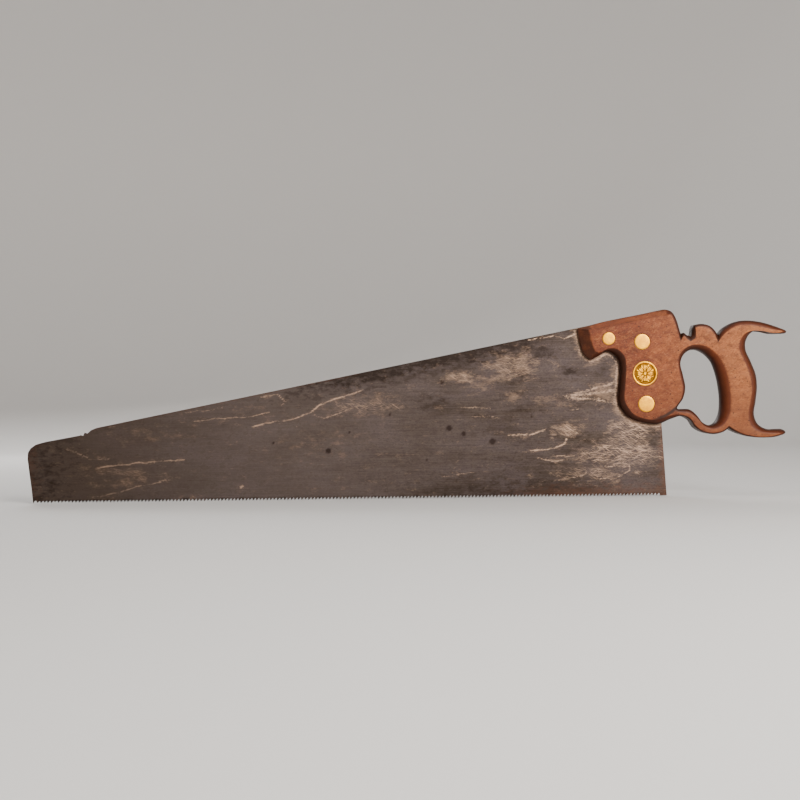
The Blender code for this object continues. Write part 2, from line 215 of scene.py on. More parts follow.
def bump(tree, height, distance_mm, strength, under=None):
    inputs = {"Height": height, "Distance": distance_mm * MM, "Strength": strength}
    if under is not None:
        inputs["Normal"] = under
    return add(tree, "ShaderNodeBump", {}, inputs).outputs["Normal"]


# %% Noise on arrays
def patches(x, z, size, seed, octaves=3):
    """Smooth random values from 0 to 1 over the plane, with lumps about size mm across. Each octave hashes
    the corners of a square lattice and eases between them; finer octaves count for half as much."""
    total = np.zeros_like(x, dtype=float)
    weight_sum = 0.0
    for octave in range(octaves):
        u, v = x / size * 2**octave, z / size * 2**octave
        iu, iv = np.floor(u), np.floor(v)
        fu, fv = u - iu, v - iv
        fu, fv = fu * fu * (3 - 2 * fu), fv * fv * (3 - 2 * fv)

        def corner(a, b):
            wave = np.sin(a * 127.1 + b * 311.7 + (seed + octave) * 74.7) * 43758.5453
            return wave - np.floor(wave)

        low = corner(iu, iv) * (1 - fu) + corner(iu + 1, iv) * fu
        high = corner(iu, iv + 1) * (1 - fu) + corner(iu + 1, iv + 1) * fu
        total += (low * (1 - fv) + high * fv) / 2**octave
        weight_sum += 1 / 2**octave
    return total / weight_sum


def ease(low, high, value):
    """0 below low, 1 above high, and an S curve between."""
    t = np.clip((value - low) / (high - low), 0, 1)
    return t * t * (3 - 2 * t)


def bell(gap, wide):
    """1 where the gap is nothing, falling to a third at the given width."""
    return np.exp(-((gap / wide) ** 2))


def carry(piece, name, values):
    """Stores one number per point on the piece, for its material to read."""
    layer = piece.data.attributes.get(name) or piece.data.attributes.new(name, "FLOAT", "POINT")
    layer.data.foreach_set("value", np.asarray(values, np.float32))


def points_of(piece):
    """The piece's points as an (n, 3) array in mm."""
    co = np.zeros(len(piece.data.vertices) * 3, np.float32)
    piece.data.vertices.foreach_get("co", co)
    return co.reshape(-1, 3).astype(float) / MM


# %% [markdown]
# ## The camera
# A saw this long is taken from about a metre and a half with a short portrait lens, square on to the plate.
# The camera leans by three quarters of a degree, because the saw rested with its toe a little low.

# %% Camera
DISTANCE = 1500.0  # from the middle of the plate, in mm
AIM = (-349.6, -10.0)  # x and z of the point the lens looks at
LEAN = math.radians(0.7545)
FRAME_WIDE = 834.5  # width of what the frame takes in, at the plate
SENSOR = 36.0
camera_data = bpy.data.cameras.new("camera")
camera_data.sensor_width = SENSOR
camera_data.lens = SENSOR * DISTANCE / FRAME_WIDE
camera_data.clip_start = 0.01
camera_data.clip_end = 30
camera = bpy.data.objects.new("camera", camera_data)
bpy.context.scene.collection.objects.link(camera)
right = Vector((math.cos(LEAN), 0, -math.sin(LEAN)))
up = Vector((math.sin(LEAN), 0, math.cos(LEAN)))
back = Vector((0, -1, 0))
turn = Matrix((right, up, back)).transposed()
camera.matrix_world = Matrix.Translation(Vector((AIM[0], -DISTANCE, AIM[1])) * MM) @ turn.to_4x4()
bpy.context.scene.camera = camera
print("lens", round(camera_data.lens, 2), "mm")

# %% [markdown]
# ## The handle's outline
# A maker saws the handle from a board 22 mm thick, then rasps the edges round where the hand goes and
# leaves flat bevels along the top and at the beak. So each station on the outline has two points: where the
# wall is, and where the flat face ends. A smooth curve runs through the stations, and a quarter ellipse or
# a straight bevel joins the face to the wall.

# %% Stations round the handle
# x, z of the wall, x, z of the edge of the flat face, how much grime and painted shade the edge holds, and
# marks: "c" is a corner and "f" a flat bevel
OUTSIDE = [
    (-164, 61.5, -152, 60, 0.9, "cf"), (-140, 68, -139.5, 61.5, 0.35, "f"), (-98, 76, -98, 69.5, 0.25, "f"),
    (-80.5, 79.5, -81.5, 72.5, 0.3, "f"), (-73, 80.5, -73.5, 73, 0.3, "f"), (-67, 78.5, -68.5, 74, 0.45),
    (-62.5, 72, -65.5, 69, 0.5), (-57.5, 55, -60.5, 53.5, 0.6, "c"), (-57.1, 54.7, -58.1, 46.4, 1.0, "c"),
    (-54.5, 56, -54.8, 52, 0.9), (-51, 53.5, -51.5, 49, 0.8), (-47, 52.5, -48, 46, 0.9, "c"),
    (-46.6, 56.5, -42.3, 49.8, 1.0), (-46, 60.5, -41.7, 54.9, 1.0), (-44, 64, -42.4, 60.8, 0.9, "c"),
    (-35.5, 65, -37, 61.5, 0.6), (-27.5, 63, -30.1, 60.1, 0.5), (-22, 58, -24.3, 54.9, 0.6),
    (-18.5, 54, -19.5, 44.5, 0.8, "c"), (-15, 58.5, -15.5, 50, 0.6), (-9.5, 62.5, -10, 55.5, 0.4),
    (1, 67, -1, 61, 0.3), (12.5, 68, 9.5, 62.5, 0.3), (27, 66, 24, 60.5, 0.3), (41.5, 61.5, 36, 57.5, 0.3),
    (47.2, 59.1, 42, 57, 0.3), (51.4, 57.4, 45.5, 56.3, 0.4), (53, 55.7, 46.8, 55.8, 0.5),
    (50.7, 53.9, 45.3, 55.1, 0.6), (46.8, 53.9, 42.5, 54.7, 0.7), (42.5, 54, 38, 54.3, 0.7),
    (31, 57, 27.5, 56.5, 0.7), (21.5, 57.5, 16.5, 57, 0.7), (15, 54, 8.5, 54.5, 0.5), (10.8, 46, 2.5, 47, 0.2),
    (11, 37.5, 1.5, 36.5, 0.1), (16, 25.5, 6.5, 25.5, 0.0), (21, 12, 11.5, 12, 0.0), (22, -1, 14, -3, 0.0),
    (20.5, -16, 12, -17, 0.0), (18.5, -29.5, 10, -30.5, 0.05), (22.5, -39.5, 12.5, -41, 0.1),
    (31.5, -45, 20, -47.5, 0.15), (42, -45.2, 32, -49.9, 0.2), (47.2, -45.4, 37.5, -50.1, 0.3),
    (50.2, -46.9, 41, -49.7, 0.4), (51.1, -48.8, 43, -49.9, 0.4), (49.4, -50.6, 41.8, -50.8, 0.4),
    (45, -52.1, 38.5, -51.5, 0.4), (40, -53.4, 34.5, -52.3, 0.4), (31.5, -54, 28.5, -52.8, 0.4),
    (17, -53.5, 16, -51.8, 0.4), (4.5, -50.5, 4, -48.5, 0.5), (-5, -46.5, -4.5, -44, 0.9),
    (-9, -44, -9, -40.7, 0.9, "c"), (-15.5, -47.7, -16, -45.8, 0.6), (-25.5, -49.7, -26, -47.8, 0.7),
    (-37, -47, -37, -45.2, 0.8), (-44, -42.5, -43.5, -40, 0.9), (-49.5, -34.5, -50, -31.8, 0.9),
    (-58, -30.5, -60, -28.5, 0.7), (-68.5, -33.5, -71.5, -29.5, 0.5), (-81, -38.5, -82.5, -32.5, 0.8),
    (-91.5, -38, -92.5, -33, 1.0), (-109, -33, -107, -27.5, 1.0), (-117, -26.5, -112, -21.5, 1.0),
    (-122.5, -15, -116, -13, 1.0), (-121.5, 5, -115, 5, 0.9), (-120.5, 20.5, -114, 21, 0.9),
    (-122.5, 30, -115.5, 31.5, 1.0), (-129, 36, -123, 40, 1.0), (-136, 37, -132.5, 41, 0.9),
    (-143.5, 32.5, -141, 37.5, 0.7), (-151, 29, -146, 38.5, 1.0, "cf"), (-157.5, 35, -148, 43.5, 1.0, "f"),
    (-161.5, 47, -150, 51.5, 0.95, "f"),
]
HAND_HOLE = [
    (-58, 24.5, -61.5, 25.5, 0.4), (-54.5, 33, -59, 35, 0.6), (-48.5, 37.5, -51.5, 41.5, 0.8),
    (-41, 38, -42.5, 44, 0.8), (-33, 34, -32, 42.5, 0.6), (-25.5, 25.5, -21, 35, 0.3),
    (-20.5, 11.5, -11.5, 21, 0.15), (-18, -2, -7, 4, 0.1), (-17, -14.5, -5.3, -13.5, 0.1),
    (-18.5, -29, -7.5, -31, 0.15), (-23.5, -38.5, -15, -41.4, 0.3), (-29, -40.5, -25, -44.8, 0.3),
    (-36, -37, -33.5, -42.5, 0.4), (-42, -29, -40.5, -35.5, 0.5), (-49.5, -23.5, -49, -28.8, 0.5),
    (-62, -22.5, -65, -24.5, 0.8), (-55.7, -12, -59, -12.5, 0.4), (-53.3, -1, -57.2, -1, 0.4),
    (-55.2, 11, -59.5, 11, 0.4),
]
print(len(OUTSIDE), "stations outside,", len(HAND_HOLE), "round the hand hole")

# %% A curve through the stations
def station_curve(stations, step):
    """Samples a closed centripetal Catmull-Rom curve: each span is a Hermite cubic whose end slopes come
    from the neighbouring stations, and a corner's slope is the span's own chord. Returns wall, face,
    flatness, and grime with painted shade."""
    wall = np.array([row[:2] for row in stations], float)
    face = np.array([row[2:4] for row in stations], float)
    dirt = np.array([row[4] for row in stations], float)
    marks = ["".join(row[5:]) for row in stations]
    sharp = np.array(["c" in mark for mark in marks])
    flat = np.array([float("f" in mark) for mark in marks])
    runs = []
    for i in range(len(stations)):
        a, b, c, d = (np.array([i - 1, i, i + 1, i + 2]) % len(stations)).tolist()
        spans = max(1, round(float(np.linalg.norm(wall[c] - wall[b])) / step))
        t = (np.arange(spans) / spans)[:, None]
        cubic = [2 * t**3 - 3 * t**2 + 1, t**3 - 2 * t**2 + t, 3 * t**2 - 2 * t**3, t**3 - t**2]
        both = []
        for line in (wall, face):
            gaps = [math.sqrt(max(np.linalg.norm(line[q] - line[p]), 1e-6))
                    for p, q in ((a, b), (b, c), (c, d))]
            chord = line[c] - line[b]
            leave = enter = chord
            if not sharp[b]:
                bend = chord / gaps[1] - (line[c] - line[a]) / (gaps[0] + gaps[1])
                leave = (bend + (line[b] - line[a]) / gaps[0]) * gaps[1]
            if not sharp[c]:
                bend = (line[d] - line[c]) / gaps[2] - (line[d] - line[b]) / (gaps[1] + gaps[2])
                enter = (bend + chord / gaps[1]) * gaps[1]
            both.append(cubic[0] * line[b] + cubic[1] * leave + cubic[2] * line[c] + cubic[3] * enter)
        blend = np.hstack([flat[b] * (1 - t) + flat[c] * t, dirt[b] * (1 - t) + dirt[c] * t])
        runs.append(np.hstack([*both, blend]))
    return np.vstack(runs)


EDGE_STEP = 1.1  # mm between samples along the outline
EDGE_RINGS = 10  # rings from the flat face to the wall
BEVEL_DEPTH = 5.0
WALL_BAND = 0.5
ARRIS = 0.07  # share of a flat bevel over which its edge is worn round


def edge_rings(samples):
    """Rings from the -Y face to the +Y face. With s from 0 to 1, a rounded edge goes out by sin and down by
    1 - cos of a quarter turn; a flat bevel goes out by s and down by s, less a fillet that fades over the
    arris."""
    wall, face, flat = samples[:, 0:2], samples[:, 2:4], samples[:, 4]
    reach = np.linalg.norm(wall - face, axis=1)
    depth = np.minimum(reach, HALF - WALL_BAND) * (1 - flat) + BEVEL_DEPTH * flat
    near, shares = [], []
    for k in range(EDGE_RINGS + 1):
        s = k / EDGE_RINGS
        eased = s**1.6
        soft = (eased - ARRIS * (1 - math.exp(-eased / ARRIS))) / (1 - ARRIS)
        out = math.sin(s * math.pi / 2) * (1 - flat) + eased * flat
        down = (1 - math.cos(s * math.pi / 2)) * (1 - flat) + soft * flat
        place_at = face + (wall - face) * out[:, None]
        near.append(np.column_stack([place_at[:, 0], -HALF + depth * down, place_at[:, 1]]))
        shares.append(out)
    far = [ring * np.array([1, -1, 1]) for ring in reversed(near)]
    return np.array(near + far), np.array(shares + shares[::-1])


# %% [markdown]
# ## The handle's body
# The two outlines become rings of points, and the rings are stitched to a skin. The flat faces are filled
# between the outer and the inner outline. Then the same cuts are made as on the bench: the long saw cut for
# the plate, the stepped wells for the screws, and a square hole that stops each bolt from turning.

# %% Screws and wells
SHANK_R, GAP = 2.4, 0.3
HEAD_THICK, NUT_THICK, NUT_SUNK = 2.0, 2.5, 0.15
NECK_HALF, NECK_DEEP = 2.8, 4.0
DISC_THICK, CUP_R, CUP_THICK = 1.8, 9.0, 1.2
HEAD_SUNK = 0.1


def middle(node):
    """x and z in mm of the middle of a solid, and half its width."""
    low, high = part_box(node)
    return (low.x + high.x) / 2 / MM, (low.z + high.z) / 2 / MM, (high.x - low.x) / 2 / MM


def lathe(name, profile, centre, segments=96, square_rows=()):
    """A body turned about Y: the profile's (radius, y) rows swept round, closed by a flat disc at each end.
    Rows listed in square_rows lie on a square of that half side instead of a circle."""
    around = np.arange(segments) * 2 * math.pi / segments + math.pi / 4
    rows = np.array(profile, float)
    reach = np.repeat(rows[:, :1], segments, axis=1)
    for k in square_rows:
        reach[k] /= np.maximum(np.abs(np.cos(around)), np.abs(np.sin(around)))
    x = centre[0] + reach * np.cos(around)
    z = centre[1] + reach * np.sin(around)
    y = np.repeat(rows[:, 1:2], segments, axis=1)
    points = np.stack([x, y, z], axis=-1).reshape(-1, 3)
    faces = ring_faces(len(rows), segments).tolist() + ring_caps(len(rows), segments)
    return new_mesh(name, points, faces)


def block(name, low, high):
    """A plain box between two corners, for cutting."""
    x, y, z = (np.array([a, b]) for a, b in zip(low, high))
    points = np.array(np.meshgrid(x, y, z, indexing="ij")).reshape(3, -1).T
    faces = [(0, 1, 3, 2), (4, 6, 7, 5), (0, 4, 5, 1), (2, 3, 7, 6), (0, 2, 6, 4), (1, 5, 7, 3)]
    return new_mesh(name, points, faces)


def cut_well(piece, centre, head_r, nut_r, cup_r):
    """Cuts one screw's stepped round well and its square neck hole."""
    deep = HEAD_SUNK + HEAD_THICK + GAP
    rows = [(head_r + GAP, -HALF - 1)]
    if cup_r:
        disc = HEAD_SUNK + DISC_THICK + GAP
        deep = HEAD_SUNK + DISC_THICK + HEAD_SUNK + CUP_THICK + GAP
        rows += [(head_r + GAP, -HALF + disc), (cup_r + GAP, -HALF + disc), (cup_r + GAP, -HALF + deep)]
    else:
        rows += [(head_r + GAP, -HALF + deep)]
    floor = HALF - NUT_SUNK - NUT_THICK - GAP
    shank = SHANK_R + GAP
    rows += [(shank, -HALF + deep), (shank, floor), (nut_r + GAP, floor), (nut_r + GAP, HALF + 1)]
    cut(piece, lathe("well", rows, centre))
    side = NECK_HALF + GAP
    low = (centre[0] - side, -HALF + deep - 0.5, centre[1] - side)
    cut(piece, block("neck", low, (centre[0] + side, -HALF + deep + NECK_DEEP, centre[1] + side)))


# %% Build the handle
RIPPLE = 0.18  # mm of unevenness that the rasp left on the rounded edges


def edge_marks(samples, shares):
    """Grime with painted shade, turn and bevel for every ring point. Grime and shade fill a whole rounded
    edge, but only the upper part of a flat bevel that is fairly clean. Turn is how far the surface has gone
    round, and bevel is 1 on the flat bevels."""
    flat, dirt = samples[:, 4], samples[:, 5]
    start = 0.5 * flat * (1 - ease(0.5, 0.8, dirt))
    edge_dirt_and_shade = dirt * ease(start, start + 0.2 + start, shares)
    return np.stack([edge_dirt_and_shade, shares * (1 - flat), flat * ease(0.0, 0.02, shares), shares * flat])


def build_handle():
    points, faces, marks, loops = [], [], [], []
    base = 0
    for number, stations in enumerate((OUTSIDE, HAND_HOLE)):
        samples = station_curve(stations, EDGE_STEP)
        rings, shares = edge_rings(samples)
        lumps = patches(rings[:, :, 0] + rings[:, :, 1], rings[:, :, 2] + 40 * number, 14.0, 5) - 0.5
        outward = samples[:, 0:2] - samples[:, 2:4]
        outward /= np.maximum(np.linalg.norm(outward, axis=1), 0.1)[:, None]
        rings[:, :, 0] -= RIPPLE * (lumps + 0.5) * shares**2 * outward[:, 0]
        rings[:, :, 2] -= RIPPLE * (lumps + 0.5) * shares**2 * outward[:, 1]
        size, count = rings.shape[1], rings.shape[0]
        points.append(rings.reshape(-1, 3))
        faces += (ring_faces(count, size) + base).tolist()
        marks.append(edge_marks(samples, shares).reshape(4, -1))
        loops.append((base, size, base + (count - 1) * size))
        base += size * count
    points = np.vstack(points)
    for end in (0, 2):
        index = np.concatenate([np.arange(loop[end], loop[end] + loop[1]) for loop in loops])
        flat = [[Vector((points[loop[end] + i][0], points[loop[end] + i][2], 0)) for i in range(loop[1])]
                for loop in loops]
        faces += [[int(index[k]) for k in tri] for tri in tessellate_polygon(flat)]
    made = new_mesh("beech_handle", points, faces)
    dirt, turned, bevel, climb = np.hstack(marks)
    carry(made, "dirt", dirt)
    carry(made, "turned", turned)
    carry(made, "bevel", bevel)
    carry(made, "climb", climb)
    return made


handle = build_handle()
KERF_HALF = 0.45 + GAP
HEEL_FOOT, HEEL_TOP = (-72.8, -113.0), (-84.0, 78.2)
heel_lean = (HEEL_TOP[0] - HEEL_FOOT[0]) / (HEEL_TOP[1] - HEEL_FOOT[1])
kerf_low, kerf_high = -60.0, 100.0
HEEL_ROOM = 0.8  # mm of free saw cut behind the plate's heel
kerf_ends = [HEEL_FOOT[0] + HEEL_ROOM + heel_lean * (z - HEEL_FOOT[1]) for z in (kerf_low, kerf_high)]
kerf_corners = [(-200, kerf_low), (kerf_ends[0], kerf_low), (kerf_ends[1], kerf_high), (-200, kerf_high)]
kerf_near = np.array([(x, -KERF_HALF, z) for x, z in kerf_corners])
kerf_faces = ring_faces(2, 4).tolist() + ring_caps(2, 4)
cut(handle, new_mesh("kerf", np.vstack([kerf_near, kerf_near * (1, -1, 1)]), kerf_faces))
SCREWS = [("saw_bolt_1", "saw_nut_1", 0), ("saw_bolt_2", "saw_nut_2", 0), ("saw_bolt_3", "saw_nut_3", 0),
          ("medallion", "medallion_nut", CUP_R)]
for head_node, nut_node, cup_r in SCREWS:
    x, z, head_r = middle(head_node)
    cut_well(handle, (x, z), head_r, middle(nut_node)[2], cup_r)
smooth(handle, 32)
weigh = handle.modifiers.new("flat_faces_first", "WEIGHTED_NORMAL")
weigh.keep_sharp = True
bake_modifiers(handle)
print("handle", len(handle.data.polygons), "faces")

# %% [markdown]
# ## Brass screws
# Each screw is a turned brass bolt with a flat head, a square neck that the wood holds still, and a round
# shank. Its nut goes on from the far side and is cut across with one slot, so that a forked driver can turn
# it. The heads were filed flush with the wood and have worn a little hollow at their edges.

# %% Bolts and split nuts
DOME = 0.12  # mm that a head falls from its middle to its edge
NUT_BORE_R = 2.46
SLOT_WIDE, SLOT_DEEP = 1.4, 1.0


def worn_face(radius, front, rows=7):
    """Rows of a face that falls away from its middle with the square of the radius."""
    r = np.linspace(0.4, radius - 0.28, rows)
    return [(a, front + DOME * (a / radius) ** 2) for a in r]


def build_bolt(name, centre, head_r, thick, sunk):
    front = -HALF + sunk
    under, neck_end, tail = front + thick, front + thick + NECK_DEEP - GAP, HALF - NUT_SUNK
    rows = worn_face(head_r, front)
    rows += [(head_r - 0.1, front + DOME + 0.06), (head_r, front + DOME + 0.2),
             (head_r, under), (NECK_HALF, under),
             (NECK_HALF, neck_end), (SHANK_R, neck_end), (SHANK_R, tail - 0.2), (SHANK_R - 0.2, tail)]
    made = lathe(name, rows, centre, 64, square_rows=(10, 11))
    smooth(made, 28)
    return made


def build_nut(name, centre, nut_r):
    face = HALF - NUT_SUNK
    rows = [(nut_r, face - NUT_THICK), (nut_r, face - 0.25),
            (nut_r - 0.07, face - 0.08), (nut_r - 0.25, face)]
    made = lathe(name, rows, centre, 64)
    cut(made, lathe("bore", [(NUT_BORE_R, face - 8), (NUT_BORE_R, face + 2)], centre, 48))
    half = SLOT_WIDE / 2
    low = (centre[0] - half, face - SLOT_DEEP, centre[1] - nut_r - 1)
    cut(made, block("slot", low, (centre[0] + half, face + 1, centre[1] + nut_r + 1)))
    carry(made, "low", (np.abs(points_of(made)[:, 1] - (face - SLOT_DEEP)) < 0.05).astype(float))
    smooth(made, 28)
    return made


bolts, nuts = [], []
for number, (head_node, nut_node, cup_r) in enumerate(SCREWS, 1):
    x, z, head_r = middle(head_node)
    nuts.append((build_nut(f"split_nut_{number}", (x, z), middle(nut_node)[2]), f"nut_{number}", nut_node))
    if not cup_r:
        bolts.append((build_bolt(f"brass_bolt_{number}", (x, z), head_r, HEAD_THICK, HEAD_SUNK), head_node))
MEDAL_X, MEDAL_Z, MEDAL_R = middle("medallion")
cup_sunk = HEAD_SUNK + DISC_THICK + HEAD_SUNK
medallion_bolt = build_bolt("medallion_bolt_turned", (MEDAL_X, MEDAL_Z), CUP_R, CUP_THICK, cup_sunk)
bolts.append((medallion_bolt, "medallion_bolt"))
print(len(bolts), "bolts,", len(nuts), "nuts")

# %% [markdown]
# ## The medallion
# A medallion is struck between dies from a brass disc and sits in the wood over a bolt. It has a raised
# plain rim, a fine ring, and a device in low relief. The device here is a plain eight-petalled flower with
# leaves between the petals, and dirt has settled round it.

# %% Strike the medallion
RIM_WIDE, FIELD_DEEP, PETALS = 1.7, 0.55, 8


def relief(radius, around):
    """Height above the field, from 0 to 1, at a share of the inner radius and an angle. Petals are lobes of
    the cosine of eight turns that are widest two thirds of the way out; leaves are the narrower lobes
    between them."""
    lobe = np.cos(around * PETALS / 2) ** 2
    petal = ease(0.30, 0.75, lobe + 0.25 * np.sin(np.pi * radius))
    petal *= ease(0.2, 0.3, radius) * (1 - ease(0.66, 0.78, radius))
    vein = 1 - 0.5 * ease(0.94, 1.0, lobe)
    leaf = ease(0.8, 0.98, 1 - lobe) * ease(0.4, 0.5, radius) * (1 - ease(0.80, 0.9, radius))
    boss = 1 - ease(0.1, 0.17, radius)
    seed_ring = 0.7 * ease(0.3, 0.9, np.cos(around * 12)) * ease(0.17, 0.2, radius)
    seed_ring *= 1 - ease(0.22, 0.26, radius)
    line = 0.8 * bell(radius - 0.93, 0.018)
    return np.clip(petal * vein * 0.85 + leaf * 0.7 + boss + seed_ring + line, 0, 1)


def build_medallion():
    segments = 224
    around = np.arange(segments) * 2 * math.pi / segments
    front = -HALF + HEAD_SUNK
    inner = MEDAL_R - RIM_WIDE
    outer = [(MEDAL_R, front + DISC_THICK), (MEDAL_R, front + 0.3), (MEDAL_R - 0.1, front + 0.1),
             (MEDAL_R - 0.35, front), (inner + 0.25, front), (inner + 0.05, front + 0.12),
             (inner - 0.15, front + 0.42)]
    rings = [np.column_stack([np.full(segments, r), np.full(segments, y)]) for r, y in outer]
    low = [np.zeros(segments) if y < front + 0.2 else np.ones(segments) for r, y in outer]
    for share in np.linspace(0.97, 0.02, 56):
        height = relief(np.full(segments, share), around)
        hand = 0.12 * (patches(share * np.cos(around) * inner, share * np.sin(around) * inner, 1.6, 3) - 0.5)
        y = front + FIELD_DEEP - 0.48 * height - hand
        rings.append(np.column_stack([np.full(segments, share * inner), y]))
        low.append(1 - height)
    grid = np.array(rings)
    x = MEDAL_X + grid[:, :, 0] * np.cos(around)
    z = MEDAL_Z + grid[:, :, 0] * np.sin(around)
    points = np.stack([x, grid[:, :, 1], z], axis=-1).reshape(-1, 3)
    faces = ring_faces(len(grid), segments).tolist() + ring_caps(len(grid), segments)
    made = new_mesh("struck_medallion", points, faces)
    carry(made, "low", np.concatenate(low))
    smooth(made, 40)
    return made


medallion = build_medallion()
print("medallion", len(medallion.data.polygons), "faces")

# %% [markdown]
# ## The toothed plate
# The plate was rolled, ground with a taper to its back, and toothed in a punch. Seven teeth go to the inch.
# They are filed to a rake of 15 degrees and bent a quarter of a millimetre to each side in turn, so that
# the cut is wider than the plate. The old nib is still on the back near the toe. Its outline's four sides
# are filled by a Coons patch.

# %% Cut the plate
PITCH = 25.4 / 7
TOOTH_LINE, TOE_X, LAST_TOOTH_X = -113.0, -733.5, -79.8
TOOTH_DEPTH = PITCH / (math.tan(math.radians(15)) + math.tan(math.radians(45)))
TOOTH_SET = 0.25
TOE_EDGE = [(TOE_X, TOOTH_LINE), (-735.2, -96), (-737, -82), (-738.8, -66), (-738.3, -60), (-735.5, -55.5)]
BACK_EDGE = [(-735.5, -55.5), (-730, -51.6), (-720, -48.9), (-702, -45.8), (-684.5, -42.8), (-683, -42.2),
             (-680.5, -42.9), (-679, -39.7), (-677, -39.2), (-676, -40.6), (-672, -37.2),
             (-666, -34.9), HEEL_TOP]
NIB = slice(4, 11)
FRONT_ROWS, BACK_ROWS = 160, 40
LAST_TOOTH = 179


def plate_columns():
    """x and z of the lower edge above the teeth: two columns to a tooth, then the plain heel."""
    first = LAST_TOOTH_X + TOOTH_DEPTH - (LAST_TOOTH + 2) * PITCH
    x = first + np.arange(2 * LAST_TOOTH + 3) * PITCH / 2
    z = np.full(len(x), TOOTH_LINE + TOOTH_DEPTH)
    x[0], z[0] = TOE_X, TOOTH_LINE
    heel = np.linspace(LAST_TOOTH_X, HEEL_FOOT[0], 5)
    return np.append(x, heel), np.append(z, np.full(len(heel), TOOTH_LINE))


def coons(bottom, top, left, right, u, v):
    """The patch between four curves: the two ruled surfaces between opposite curves, added, less the flat
    one through the four corners. Every curve is an (n, 2) array and u, v are its places from 0 to 1."""
    u, v = u[None, :, None], v[:, None, None]
    ruled_up = (1 - v) * bottom[None] + v * top[None]
    ruled_across = (1 - u) * left[:, None] + u * right[:, None]
    corners = (1 - u) * (1 - v) * bottom[0] + u * (1 - v) * bottom[-1]
    corners = corners + (1 - u) * v * top[0] + u * v * top[-1]
    return ruled_up + ruled_across - corners


def plate_side(rows):
    """One side's grid of x, z points with this many rows of faces."""
    x, z = plate_columns()
    bottom = np.column_stack([x, z])
    u = (x - x[0]) / (x[-1] - x[0])
    edge = np.array(BACK_EDGE)
    top_x = edge[0, 0] + u * (edge[-1, 0] - edge[0, 0])
    for nib_x in edge[NIB, 0]:
        top_x[np.argmin(np.abs(top_x - nib_x))] = nib_x
    top = np.column_stack([top_x, np.interp(top_x, edge[:, 0], edge[:, 1])])
    toe = np.array(TOE_EDGE)
    v = np.linspace(0, 1, rows + 1)
    long = np.append(0, np.cumsum(np.linalg.norm(np.diff(toe, axis=0), axis=1)))
    left = np.column_stack([np.interp(v * long[-1], long, toe[:, k]) for k in (0, 1)])
    right = bottom[-1] + v[:, None] * (top[-1] - bottom[-1])
    return coons(bottom, top, left, right, u, v)


def build_plate():
    half = (PLATE_HIGH.y - PLATE_LOW.y) / 2 / MM - TOOTH_SET
    sides, bases, base = [], [], 0
    for rows, y in ((FRONT_ROWS, -half), (BACK_ROWS, half)):
        grid = plate_side(rows)
        sides.append(np.insert(grid, 1, y, axis=2).reshape(-1, 3))
        bases.append((base, rows, grid.shape[1]))
        base += grid.shape[0] * grid.shape[1]
    faces = []
    for start, rows, wide in bases:
        faces += (ring_faces(rows + 1, wide, closed=False) + start).tolist()
    (front, front_rows, wide), (rear, rear_rows, _) = bases
    # the back edge is stitched straight across, and the two short sides by equal shares of their rows
    for k in range(wide - 1):
        a, b = front + front_rows * wide + k, rear + rear_rows * wide + k
        faces.append((a, a + 1, b + 1, b))
    many = front_rows // rear_rows
    for side in (0, wide - 1):
        for r in range(rear_rows):
            fan = [front + (r * many + k) * wide + side for k in range(many + 1)]
            faces.append((*fan, rear + (r + 1) * wide + side, rear + r * wide + side))
    # teeth: a point each, set to one side, on the span between two gullets
    tips, random = [], np.random.default_rng(11)
    x, _ = plate_columns()
    heights = 0.5 * random.random(LAST_TOOTH) ** 3
    heights += 0.9 * (1 - ease(0, 26, np.arange(LAST_TOOTH))) * random.random(LAST_TOOTH)
    for n in range(LAST_TOOTH):
        k = 2 + 2 * n
        lean = TOOTH_SET if n % 2 else -TOOTH_SET
        tip_x = x[k] + PITCH - TOOTH_DEPTH
        a, b = base + len(tips), base + len(tips) + 1
        z = TOOTH_LINE + heights[n]
        tips += [(tip_x, lean - half, z), (tip_x, lean + half, z)]
        for start, tip in ((front, a), (rear, b)):
            if k + 2 < wide:
                faces += [(start + k, tip, start + k + 1), (start + k + 1, tip, start + k + 2)]
        faces += [(front + k, a, b, rear + k), (a, front + k + 2, rear + k + 2, b)]
    for k in [0, 1, *range(2 * LAST_TOOTH + 2, wide - 1)]:
        faces.append((front + k, front + k + 1, rear + k + 1, rear + k))
    return new_mesh("toothed_plate", np.vstack([*sides, np.array(tips)]), faces)


plate = build_plate()
hole_cutters = [lathe(f"hole_{i}", [(SHANK_R + GAP, -5), (SHANK_R + GAP, 5)], middle(head)[:2], 40)
                for i, (head, _, _) in enumerate(SCREWS)]
for hole in hole_cutters:
    cut(plate, hole)
smooth(plate, 20)
print("plate", len(plate.data.polygons), "faces")

# %% [markdown]
# ### What a century did to the steel
# Bare steel goes brown and then grey-black as it rusts and is wiped with oil. Rubbing it down afterwards
# leaves streaks and hatched scratches of bright metal, mostly near the handle, where rust had been worst.
# Each mark is laid down as a line or a soft patch, measured along from the toe and up from the teeth, in
# mm.

